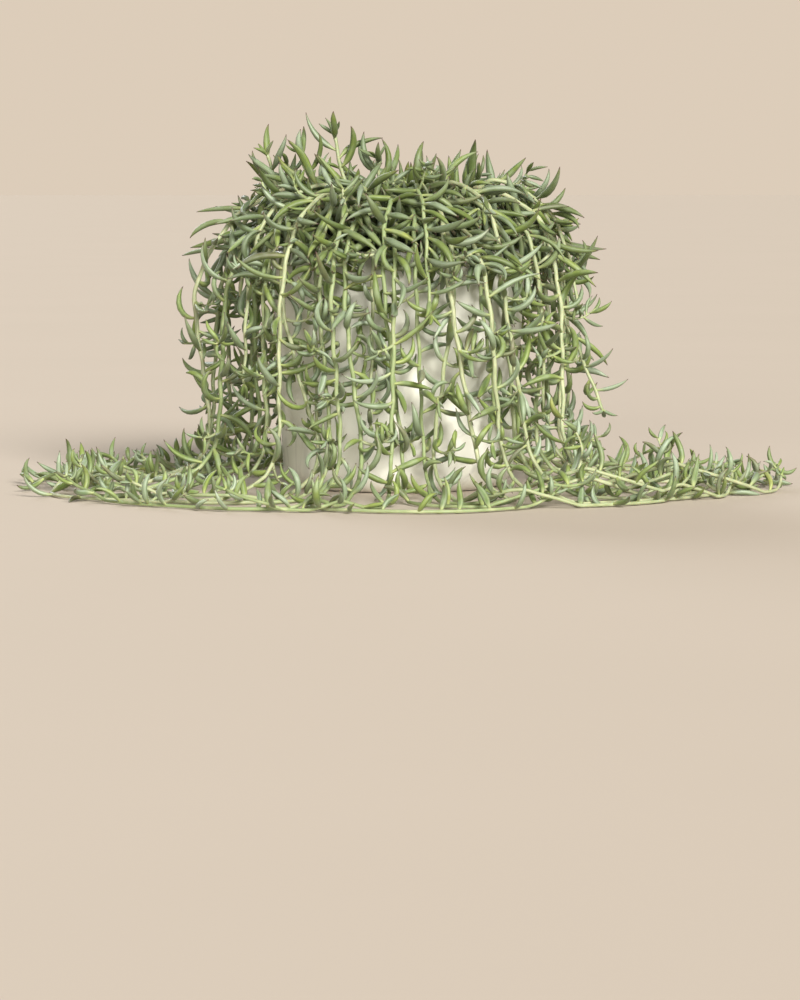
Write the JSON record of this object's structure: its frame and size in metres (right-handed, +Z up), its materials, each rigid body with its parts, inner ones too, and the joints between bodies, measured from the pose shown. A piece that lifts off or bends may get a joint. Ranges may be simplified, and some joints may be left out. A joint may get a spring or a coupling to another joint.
{
  "type": "potted trailing succulent",
  "caption": "Trailing succulent with crescent leaves in a round glazed pot; its stems hang over the rim and lie along the surface.",
  "frame": {"origin": "centre of the pot's flat base, on the surface that the pot stands on", "axes": "+Z up along the pot's axis, -Y towards the front, where the curtain of stems is thickest, +X to the right seen from the front"},
  "size_m": [0.4613, 0.3737, 0.2225],
  "materials": {
    "glaze": "gloss",
    "soil": "matte",
    "foliage": "satin"
  },
  "bodies": {
    "root": {"ceramic_pot": "glaze", "potting_soil": "soil", "trailing_strand_01": "foliage", "trailing_strand_02": "foliage", "trailing_strand_03": "foliage", "trailing_strand_04": "foliage", "trailing_strand_05": "foliage", "trailing_strand_06": "foliage", "trailing_strand_07": "foliage", "trailing_strand_08": "foliage", "trailing_strand_09": "foliage", "trailing_strand_10": "foliage", "trailing_strand_11": "foliage", "trailing_strand_12": "foliage", "trailing_strand_13": "foliage", "trailing_strand_14": "foliage", "trailing_strand_15": "foliage", "trailing_strand_16": "foliage", "trailing_strand_17": "foliage", "trailing_strand_18": "foliage", "trailing_strand_19": "foliage", "trailing_strand_20": "foliage", "trailing_strand_21": "foliage", "trailing_strand_22": "foliage", "trailing_strand_23": "foliage", "trailing_strand_24": "foliage", "trailing_strand_25": "foliage", "trailing_strand_26": "foliage", "trailing_strand_27": "foliage", "trailing_strand_28": "foliage", "trailing_strand_29": "foliage", "trailing_strand_30": "foliage", "trailing_strand_31": "foliage", "trailing_strand_32": "foliage", "trailing_strand_33": "foliage", "trailing_strand_34": "foliage", "trailing_strand_35": "foliage", "trailing_strand_36": "foliage", "trailing_strand_37": "foliage", "trailing_strand_38": "foliage", "trailing_strand_39": "foliage", "trailing_strand_40": "foliage", "trailing_strand_41": "foliage", "trailing_strand_42": "foliage", "trailing_strand_43": "foliage", "trailing_strand_44": "foliage", "trailing_strand_45": "foliage", "trailing_strand_46": "foliage", "trailing_strand_47": "foliage", "crown_shoot_01": "foliage", "crown_shoot_02": "foliage", "crown_shoot_03": "foliage", "crown_shoot_04": "foliage", "crown_shoot_05": "foliage", "crown_shoot_06": "foliage", "crown_shoot_07": "foliage", "crown_shoot_08": "foliage", "crown_shoot_09": "foliage", "crown_shoot_10": "foliage", "crown_shoot_11": "foliage"}
  },
  "joints": []
}
